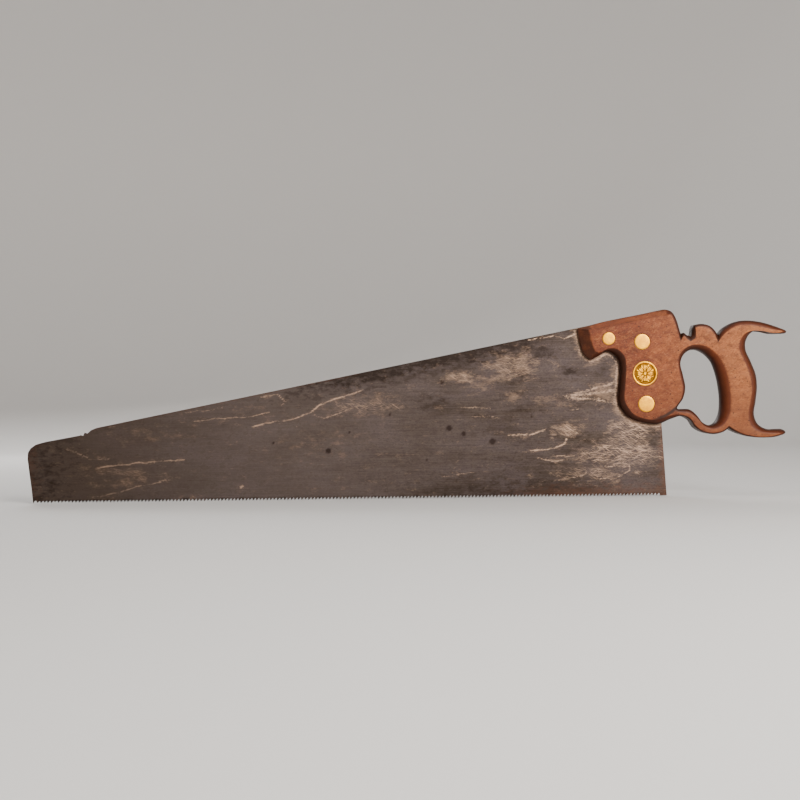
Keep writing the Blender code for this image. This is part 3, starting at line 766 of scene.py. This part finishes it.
# %% Marks on the plate
# strength, half width, then the points that the streak runs through
STREAKS = [
    (1.0, 1.2, (66, 36), (83, 38), (110, 41), (138, 43), (159, 44)),
    (0.55, 1.6, (35, 56), (59, 47), (79, 45)),
    (0.65, 1.3, (59, 5), (79, 8), (101, 14), (119, 18), (145, 24)),
    (0.9, 1.6, (133, 22), (141, 24)),
    (0.6, 1.0, (167, 83), (191, 86), (224, 87), (246, 92)),
    (0.65, 1.3, (238, 108), (255, 110), (264, 103), (259, 99)),
    (0.9, 1.3, (229, 77), (235, 79), (255, 82), (273, 85), (289, 91), (299, 99), (311, 104),
     (330, 109), (342, 113)),
    (0.6, 1.2, (291, 90), (304, 85), (330, 94), (340, 97)),
    (0.55, 1.1, (158, 93), (185, 95), (198, 98)),
    (0.5, 1.1, (78, 78), (92, 80)),
    (0.55, 1.1, (457, 85), (488, 84)),
    (0.5, 1.1, (443, 95), (478, 94)),
    (0.8, 1.0, (516, 164), (532, 166), (543, 168), (554, 165), (565, 169)),
    (0.55, 0.9, (553, 89), (565, 91), (573, 91)),
    (0.85, 1.4, (496, 65), (518, 65), (534, 70)),
    (0.9, 1.1, (518, 49), (541, 50), (554, 55), (556, 60)),
    (0.8, 1.0, (527, 41), (545, 37), (565, 39)),
    (0.75, 1.0, (541, 42), (565, 43)),
    (0.7, 0.9, (595, 31), (620, 31.5), (622, 26), (607, 18), (591, 18)),
    (0.65, 0.9, (543, 17), (563, 19), (573, 22), (578, 26)),
    (0.4, 1.0, (426, 22), (461, 27)),
    (0.6, 2.6, (556, 105), (582, 111), (607, 119)),
    (0.6, 2.6, (556, 105), (582, 107), (608, 110)),
    (0.55, 2.6, (556, 104), (582, 101), (609, 97)),
    (0.7, 1.0, (552, 105), (558, 105)),
    (0.9, 2.4, (217, 14), (217.5, 14)),
    (0.7, 1.2, (166, 5), (167, 5)),
    (0.6, 1.2, (275, 77), (276, 77)),
]
# strength, middle along and up, half length, half height
CLOUDS = [
    (0.5, 360, 105, 26, 9), (0.35, 345, 88, 24, 5), (0.8, 444, 126, 20, 7), (0.7, 500, 138, 30, 17),
    (0.6, 502, 107, 14, 9), (0.5, 470, 120, 25, 12), (0.7, 557, 70, 18, 8), (0.4, 540, 100, 30, 10),
    (0.95, 598, 108, 20, 9), (0.6, 582, 105, 16, 4), (0.42, 611, 44, 44, 14), (0.3, 614, 72, 32, 17),
    (0.45, 100, 24, 40, 12), (0.4, 66, 34, 26, 12), (0.35, 120, 70, 45, 12), (0.3, 300, 60, 60, 20),
    (0.4, 590, 20, 50, 8), (0.35, 220, 96, 40, 6),
]
# the same for stains: dark patches over the metal
STAINS = [
    (0.8, 463, 144, 16, 7), (0.85, 488, 158, 14, 7), (0.8, 532, 151, 16, 8), (0.7, 508, 129, 8, 6),
    (0.7, 560, 130, 12, 8), (0.65, 557, 175, 14, 5), (0.5, 595, 130, 10, 8), (0.45, 560, 48, 10, 5),
    (0.6, 13, 37, 12, 14), (0.5, 19, 21, 16, 10), (0.5, 420, 100, 26, 12), (0.35, 480, 70, 30, 8),
]
# along, up and radius of the round rust spots
SPOTS = [(434, 73, 2.9), (449, 67, 2.5), (479, 58.5, 3.2), (308, 51, 2.7), (410, 40, 1.1), (426, 121, 2.0),
         (330, 70, 1.2), (372, 88, 1.4), (250, 60, 1.2), (520, 84, 1.2)]
# the same for places with many fine scratches
SCUFFS = [
    (0.9, 611, 44, 46, 14), (0.85, 625, 70, 24, 16), (0.5, 500, 137, 26, 14), (0.6, 444, 126, 20, 6),
    (0.75, 557, 69, 16, 7), (0.55, 345, 97, 36, 9), (0.5, 582, 24, 50, 9), (0.35, 100, 30, 40, 10),
]


FAR_START, FAR_SHRINK = 600, 0.9
BACK_SLOPE = 0.1943  # rise of the plate's back for each mm toward the heel
TOE_LEAN = 0.013
HEEL_RUST_X, TOE_RUST_X = -74, -738


def measured(points):
    """Frame x, z in mm as distances along from the toe's foot and up from the teeth."""
    up = points[:, 2] - TOOTH_LINE
    return points[:, 0] - TOE_X - TOE_LEAN * up, up


def line_gap(along, up, line):
    """Distance of every point from a run of straight pieces."""
    gap = np.full(len(along), 1e9)
    for (a0, u0), (a1, u1) in zip(line, line[1:]):
        da, du = a1 - a0, u1 - u0
        t = np.clip(((along - a0) * da + (up - u0) * du) / (da * da + du * du), 0, 1)
        gap = np.minimum(gap, np.hypot(along - a0 - t * da, up - u0 - t * du))
    return gap


def lay(values, along, up, strength, wide, line):
    """Adds one streak where it is near: a bell of the given half width across the line. The strongest mark
    wins."""
    a, u = np.array(line).T
    reach = 3.5 * wide
    near = (along > a.min() - reach) & (along < a.max() + reach)
    near &= (up > u.min() - reach) & (up < u.max() + reach)
    uneven = 0.15 + 1.4 * patches(along[near], up[near] * 1.5, 9, 31)
    mark = strength * uneven * bell(line_gap(along[near], up[near], line), 0.68 * wide)
    values[near] = np.maximum(values[near], mark)


def soft_patches(along, up, table):
    """Soft oval marks: a bell along the teeth times a bell up the plate. The strongest mark wins."""
    values = np.zeros(len(along))
    for strength, a, u, long, high in table:
        values = np.maximum(values, strength * bell(along - a, long) * bell(up - u, high))
    return values


def mark_plate(piece):
    """Carries each kind of mark as an attribute: bells over the gaps from lines, ovals, edges and the
    handle."""
    points = points_of(piece)
    along, up = measured(points)
    front = points[:, 1] < 0
    # the far side has marks of the same kind, laid out from the other end
    along = np.where(front, along, FAR_START - along * FAR_SHRINK)
    wander = patches(along, up, 9, 21) - 0.5
    streak, halo_streak = np.zeros(len(along)), np.zeros(len(along))
    for strength, wide, *line in STREAKS:
        lay(streak, along + 3 * wander, up + 3 * wander, strength, wide, line)
        lay(halo_streak, along, up, 0.4 * strength, 4.5 * wide, line)
    outline = station_curve(OUTSIDE, 3.0)[:, :2]
    shape = [(x - TOE_X, z - TOOTH_LINE) for x, z in outline if x < -66 and z < 70]
    real_along, real_up = points[:, 0] - TOE_X, points[:, 2] - TOOTH_LINE
    nearest = line_gap(real_along, real_up, shape)
    halo = bell(nearest, 4.0 + 6 * patches(real_along, real_up, 16, 8))
    rim = 0.6 * bell(nearest - 2.4, 1.5) * (0.3 + 1.2 * patches(real_along, real_up, 10, 17))
    streak = np.maximum(streak, rim)
    cloud = soft_patches(along, up, CLOUDS)
    back_gap = HEEL_TOP[1] + BACK_SLOPE * (points[:, 0] - HEEL_TOP[0]) - points[:, 2]
    above = points[:, 2] - TOOTH_LINE
    stain_and_shade = np.maximum.reduce([
        soft_patches(along, up, STAINS),
        0.95 * bell(back_gap, 17) * ease(200, 360, along) * (1 - ease(500, 570, along)),
        0.6 * bell(up, 26) * ease(330, 470, along) * (1 - ease(540, 640, along)),
        0.4 * (1 - ease(0, 70, points[:, 0] - TOE_X)),
        # painted shade: a dark band along the lowest few mm above the teeth, where the gullets are in shade
        0.62 * (1 - ease(2.6, 4.6, above)),
    ])
    rust = np.maximum.reduce([
        0.85 * bell(above, 14) * ease(430, 560, along),
        0.9 * bell(points[:, 0] - HEEL_RUST_X, 8),
        0.6 * bell(points[:, 0] - TOE_RUST_X, 14),
        0.7 * bell(back_gap, 2.2) * (1 - ease(300, 420, along)),
    ])
    spot = np.zeros(len(along))
    for a, u, radius in SPOTS:
        spot = np.maximum(spot, 1 - ease(0.8, 1.25, np.hypot(along - a, up - u) / radius))
    # the far side's grid is coarser, so its streaks are wider and softer
    carry(piece, "streak", np.where(front, streak, 1.2 * halo_streak))
    carry(piece, "cloud", np.maximum.reduce([cloud, 0.8 * halo, halo_streak]))
    carry(piece, "stain_and_shade", stain_and_shade)
    carry(piece, "spot", spot)
    carry(piece, "scuff", soft_patches(along + 4 * wander, up + 4 * wander, SCUFFS))
    carry(piece, "rust", rust)
    carry(piece, "toe", 1 - ease(0, 230, points[:, 0] - TOE_X))
    print("streaks cover", round(float((streak > 0.3).mean()), 3), "of the plate")


mark_plate(plate)

# %% [markdown]
# ## Steel
# Carbon steel that has gone brown all over keeps a little of its metal shine under the oxide. The oxide is
# dark and half dull; where it is rubbed through, the metal is pale and smoother. Fine lines run lengthwise
# from grinding.

# %% Patinated steel
def patinated_steel():
    made, tree, shader, point = new_material("patinated_steel")
    broad = pattern(tree, point, (70, 70, 26), 5, 0.6, 0.05)
    mottle = pattern(tree, point, (10, 10, 5), 6, 0.62)
    lines = pattern(tree, point, (30, 1, 0.6), 3, 0.6)
    speckle = pattern(tree, point, (2.2, 2.2, 1.3), 3, 0.7)
    tone = mix(tree, span(tree, broad, 0.36, 0.64), linear("#2E241D"), linear("#463C3B"))
    layers = [
        (mottle, 0.44, 0.68, 0, 0.45, "#63564D"), (lines, 0.38, 0.7, 0, 0.28, "#6C5F59"),
        (speckle, 0.5, 0.32, 0, 0.5, "#251D19"),
    ]
    for *amount, code in layers:
        tone = paint(tree, tone, code, tuple(amount))
    # painted light: the half towards the toe is painted lighter, where the window light falls off, and the toe
    # itself is brown
    where = add(tree, "ShaderNodeSeparateXYZ", {}, {0: point})
    tone = paint(tree, tone, "#7A6C66", (where.outputs["X"], -230, -470, 0, 0.3))
    toe = carried(tree, "toe")
    tone = paint(tree, tone, "#3A2C1E", toe, 0.5)
    ragged = span(tree, mottle, 0.38, 0.6, -0.45, 0.35)
    # stains, with the painted shade along the foot of the teeth
    stain_and_shade = span(tree, maths(tree, "ADD", carried(tree, "stain_and_shade"), ragged), 0.15, 0.95)
    tone = paint(tree, tone, "#221914", stain_and_shade, 0.85)
    rust_noise = span(tree, pattern(tree, point, (7, 7, 3), 5, 0.6), 0.35, 0.65, -0.3, 0.3)
    rust = span(tree, maths(tree, "ADD", carried(tree, "rust"), rust_noise), 0.3, 1.0)
    tone = paint(tree, tone, "#57382A", rust, 0.5)
    fleck = span(tree, pattern(tree, point, (3.0, 3.0, 1.3), 5, 0.72), 0.36, 0.64, -0.5, 0.45)
    drift = span(tree, pattern(tree, point, (15, 15, 7), 6, 0.68), 0.36, 0.66, -0.45, 0.35)
    soft = maths(tree, "ADD", maths(tree, "MULTIPLY", fleck, 0.45), drift)
    cloud = span(tree, maths(tree, "ADD", carried(tree, "cloud"), soft), 0.2, 1.0)
    tone = paint(tree, tone, "#8E735F", cloud, 0.56)
    ragged = maths(tree, "ADD", carried(tree, "streak"), maths(tree, "MULTIPLY", fleck, 0.6))
    streak = span(tree, ragged, 0.22, 0.95)
    # fine scratches in three directions where the plate was scoured
    scour = None
    for long, turn in ((15, 0.12), (11, 0.62), (9, -0.3)):
        rake = span(tree, pattern(tree, point, (long, 1, 0.6), 3, 0.6, turn), 0.56, 0.65)
        scour = rake if scour is None else maths(tree, "MAXIMUM", scour, rake)
    drifting = maths(tree, "ADD", carried(tree, "scuff"), maths(tree, "MULTIPLY", drift, 0.6))
    scuffed = span(tree, drifting, 0.1, 0.9)
    bright = maths(tree, "MAXIMUM", streak, maths(tree, "MULTIPLY", scour, scuffed))
    bare = maths(tree, "MULTIPLY", bright, span(tree, toe, 0, 1, 0.85, 0.35))
    tone = paint(tree, tone, "#C2A188", bare)
    tone = paint(tree, tone, "#241916", carried(tree, "spot"), 0.85)
    tree.links.new(tone, shader.inputs["Base Color"])
    shader.inputs["Metallic"].default_value = 0.88
    tree.links.new(span(tree, bare, 0, 1, 0.5, 0.42).outputs[0], shader.inputs["Roughness"])
    pits = bump(tree, speckle.outputs[0], 0.05, 0.5)
    tree.links.new(bump(tree, lines.outputs[0], 0.03, 0.5, pits), shader.inputs["Normal"])
    return made


steel = patinated_steel()
place(plate, steel, "saw", "plate_steel", "saw_plate")

# %% [markdown]
# ## Wood
# Saw handles were cut from beech or apple with the grain along the grip's slant, stained red-brown and
# oiled. Beech shows short dark flecks where its rays are cut through. Sweat and dust collect in the corners
# and along the edges that nobody touches, and painted shade darkens those edges further, the lower part
# and the crease where the strap meets the cheek. The grip end is painted lighter, partly for the hand's
# polish and partly as painted light from the right.

# %% Oiled beech
CREASE_SHADE_ARC = (-96.9, 14.4, 49.3)  # x and z of the middle of the circle of painted shade in the crease, and its radius, in mm


def oiled_beech():
    made, tree, shader, point = new_material("oiled_beech")
    grain = -0.30  # radians that the grain slants from level
    broad = pattern(tree, point, (38, 30, 20), 4, 0.6, grain)
    rings = pattern(tree, point, (40, 8, 3.6), 5, 0.65, grain)
    flecks = pattern(tree, point, (2.6, 1.2, 0.7), 4, 0.65, grain)
    pores = pattern(tree, point, (1.3, 0.5, 0.4), 2, 0.6, grain)
    mottle = pattern(tree, point, (7, 4.5, 4), 4, 0.6, grain)
    smudge = pattern(tree, point, (11, 11, 8), 5, 0.68)
    uneven = span(tree, smudge, 0.35, 0.65, -0.16, 0.16)
    pits = pattern(tree, point, (2.2, 2.2, 2.0), 1, 0.4, 0.8)
    where = add(tree, "ShaderNodeSeparateXYZ", {}, {0: point})
    worn_and_lit_toward_grip = span(tree, where.outputs["X"], -105, 25)
    shade_toward_bottom = span(tree, where.outputs["Z"], 15, -50)
    # painted shade: a dark line along part of a circle, in the crease where the strap runs into the round foot
    # of the cheek
    centre = (CREASE_SHADE_ARC[0], 0, CREASE_SHADE_ARC[1])
    off_centre = add(tree, "ShaderNodeVectorMath", {"operation": "SUBTRACT"}, {0: point, 1: centre})
    level = add(tree, "ShaderNodeVectorMath", {"operation": "MULTIPLY"}, {0: off_centre, 1: (1, 0, 1)})
    away = add(tree, "ShaderNodeVectorMath", {"operation": "LENGTH"}, {0: level})
    from_crease_shade = maths(tree, "ABSOLUTE", maths(tree, "SUBTRACT", away.outputs["Value"], CREASE_SHADE_ARC[2]))
    behind = span(tree, where.outputs["X"], -94, -80)
    below = span(tree, where.outputs["Z"], -9, -15)
    ends = maths(tree, "MULTIPLY", behind, below)
    crease_shade = maths(tree, "MULTIPLY", span(tree, from_crease_shade, 2.4, 0.8), ends)
    tone = mix(tree, span(tree, broad, 0.35, 0.65), linear("#602709"), linear("#7C3812"))
    tone = paint(tree, tone, "#9A4C1C", (rings, 0.42, 0.7, 0, 0.45))
    # partly painted light: lighter towards the grip, where the light from the right falls, and partly the
    # hand's wear
    tone = paint(tree, tone, "#AD6730", worn_and_lit_toward_grip, 0.65)
    layers = [
        (mottle, 0.5, 0.34, 0, 0.38, "#5A240C"), (mottle, 0.54, 0.72, 0, 0.3, "#C07A44"),
        (flecks, 0.46, 0.3, 0, 0.85, "#4A1C08"), (flecks, 0.56, 0.74, 0, 0.6, "#CC8A55"),
        (pores, 0.4, 0.28, 0, 0.65, "#3A1606"), (smudge, 0.5, 0.7, 0, 0.6, "#4A2110"),
    ]
    for *amount, code in layers:
        tone = paint(tree, tone, code, tuple(amount))
    # painted shade: darker towards the bottom, which the light from above reaches less
    tone = paint(tree, tone, "#5C280C", shade_toward_bottom, 0.6)
    tone = paint(tree, tone, "#221006", (pits, 0.66, 0.72, 0, 0.85))
    # the flat bevel is greyer, grimy at its top and darker along its lower arris
    climb = carried(tree, "climb")
    tone = paint(tree, tone, "#7A4630", carried(tree, "bevel"), 0.4)
    arris = maths(tree, "MULTIPLY", span(tree, climb, 0.015, 0.06), span(tree, climb, 0.26, 0.1))
    tone = paint(tree, tone, "#4A2210", arris, span(tree, smudge, 0.4, 0.6, 0.1, 0.6))
    tone = paint(tree, tone, "#43200F", (maths(tree, "ADD", climb, uneven), 0.6, 1.0, 0, 0.7))
    # rounded edges are darker than the faces with polish, and painted shade deepens them as they turn away
    # from the face
    turned = carried(tree, "turned")
    tone = paint(tree, tone, "#4C1B02", (turned, 0.02, 0.2, 0, 0.9))
    tone = paint(tree, tone, "#240B02", (turned, 0.35, 0.9, 0, 0.8))
    # grime and painted shade along the edges, by the share listed for each station
    dirt = span(tree, maths(tree, "ADD", carried(tree, "dirt"), uneven), 0.3, 0.95)
    tone = paint(tree, tone, "#2E1305", dirt, 0.88)
    # painted shade in the crease where the strap meets the cheek
    tone = paint(tree, tone, "#2A1004", crease_shade, 0.92)
    tree.links.new(tone, shader.inputs["Base Color"])
    tree.links.new(span(tree, smudge, 0.3, 0.7, 0.38, 0.58).outputs[0], shader.inputs["Roughness"])
    shader.inputs["IOR"].default_value = 1.5
    shader.inputs["Specular IOR Level"].default_value = 0.22
    dents = bump(tree, smudge.outputs[0], 0.4, 0.5)
    specks = bump(tree, flecks.outputs[0], 0.12, 0.5, dents)
    tree.links.new(bump(tree, pores.outputs[0], 0.08, 0.6, specks), shader.inputs["Normal"])
    return made


beech = oiled_beech()
place(handle, beech, "saw", "handle_wood", "handle")

# %% [markdown]
# ## Brass
# Yellow brass, turned and filed, then kept bright by handling. It has fine scratches in every direction and
# a thin brown tarnish that gathers in the low places.

# %% Worn brass
def worn_brass(name, low=False):
    made, tree, shader, point = new_material(name)
    scratch = pattern(tree, point, (4, 4, 0.25), 3, 0.6, 0.6)
    haze = pattern(tree, point, (5, 5, 5), 4, 0.6)
    tone = mix(tree, span(tree, haze, 0.35, 0.7), linear("#F0AB1C"), linear("#D08D24"))
    tone = paint(tree, tone, "#A4681A", (scratch, 0.55, 0.8, 0, 0.6))
    if low:
        low_places = carried(tree, "low")
        uneven = span(tree, haze, 0.3, 0.7, -0.2, 0.2)
        grime = span(tree, maths(tree, "ADD", low_places, uneven), 0.35, 0.9)
        tone = paint(tree, tone, "#3A200C", grime, 0.85)
    tree.links.new(tone, shader.inputs["Base Color"])
    shader.inputs["Metallic"].default_value = 1.0
    tree.links.new(span(tree, haze, 0.3, 0.7, 0.3, 0.44).outputs[0], shader.inputs["Roughness"])
    tree.links.new(bump(tree, scratch.outputs[0], 0.02, 0.6), shader.inputs["Normal"])
    return made


brass = worn_brass("worn_brass")
struck = worn_brass("struck_brass", low=True)
slotted = worn_brass("slotted_brass", low=True)
for piece, node in bolts:
    place(piece, brass, "saw", "brass", node)
for piece, body, node in nuts:
    place(piece, slotted, body, "brass", node)
place(medallion, struck, "saw", "medallion_brass", "medallion")

# %% [markdown]
# ## Floor, backdrop and light
# A round cove of pale paper, floor and wall in one, so that the backdrop is the same from every side. One
# large soft light stands in front and to the right, as a window would. A smaller one does the same behind,
# and a weak light overhead fills in.

# %% Stage
FLOOR_Z = CAD_BOUNDS[0].z - 0.5 * MM


def build_cove(centre_x, wall, bend_radius, top, sides=96):
    """A round floor that turns up into a wall on every side: floor, quarter circle and wall turned about Z,
    in m."""
    bend = np.linspace(0, math.pi / 2, 16)
    out = np.concatenate([[0.2, 1.0], wall - bend_radius * (1 - np.sin(bend)), [wall]])
    z = FLOOR_Z + np.concatenate([[0, 0], bend_radius * (1 - np.cos(bend)), [top]])
    around = np.linspace(0, 2 * math.pi, sides, endpoint=False)
    x = centre_x + out[:, None] * np.cos(around)
    y = out[:, None] * np.sin(around)
    grid = np.stack([x, y, np.broadcast_to(z[:, None], x.shape)], axis=-1).reshape(-1, 3)
    made = new_mesh("paper_cove", grid / MM, [*ring_faces(len(out), sides).tolist(), list(range(sides))])
    made.data.shade_smooth()
    return made


COVE_RADIUS, COVE_BEND, COVE_TOP = 2.5, 0.8, 3.0  # m
cove = build_cove(AIM[0] * MM, COVE_RADIUS, COVE_BEND, COVE_TOP)
paper, _, paper_shader, _ = new_material("pale_paper")
paper_shader.inputs["Base Color"].default_value = linear("#D8D5D2")
paper_shader.inputs["Roughness"].default_value = 0.9
cove.data.materials.append(paper)


def soft_light(name, at, aim, size, watts, colour=(1, 1, 1)):
    data = bpy.data.lights.new(name, "AREA")
    data.shape = "RECTANGLE"
    data.size, data.size_y = size
    data.energy = watts
    data.color = colour
    made = bpy.data.objects.new(name, data)
    bpy.context.scene.collection.objects.link(made)
    made.location = at
    made.rotation_mode = "QUATERNION"
    made.rotation_quaternion = (Vector(aim) - Vector(at)).to_track_quat("-Z", "Y")
    made.visible_camera = False
    return made


soft_light("window", (0.55, -1.5, 0.6), (-0.15, 0, 0), (1.0, 0.9), 46, (1.0, 0.97, 0.93))
soft_light("sky", (-0.3, -0.2, 1.9), (-0.3, 0, 0), (1.6, 1.2), 10)
soft_light("far_window", (-1.1, 1.5, 0.8), (-0.3, 0, 0), (1.0, 0.9), 18)
world = bpy.data.worlds.new("room")
world.use_nodes = True
world.node_tree.nodes["Background"].inputs["Color"].default_value = (1, 1, 1, 1)
world.node_tree.nodes["Background"].inputs["Strength"].default_value = 0.3
bpy.context.scene.world = world
print("stage set")
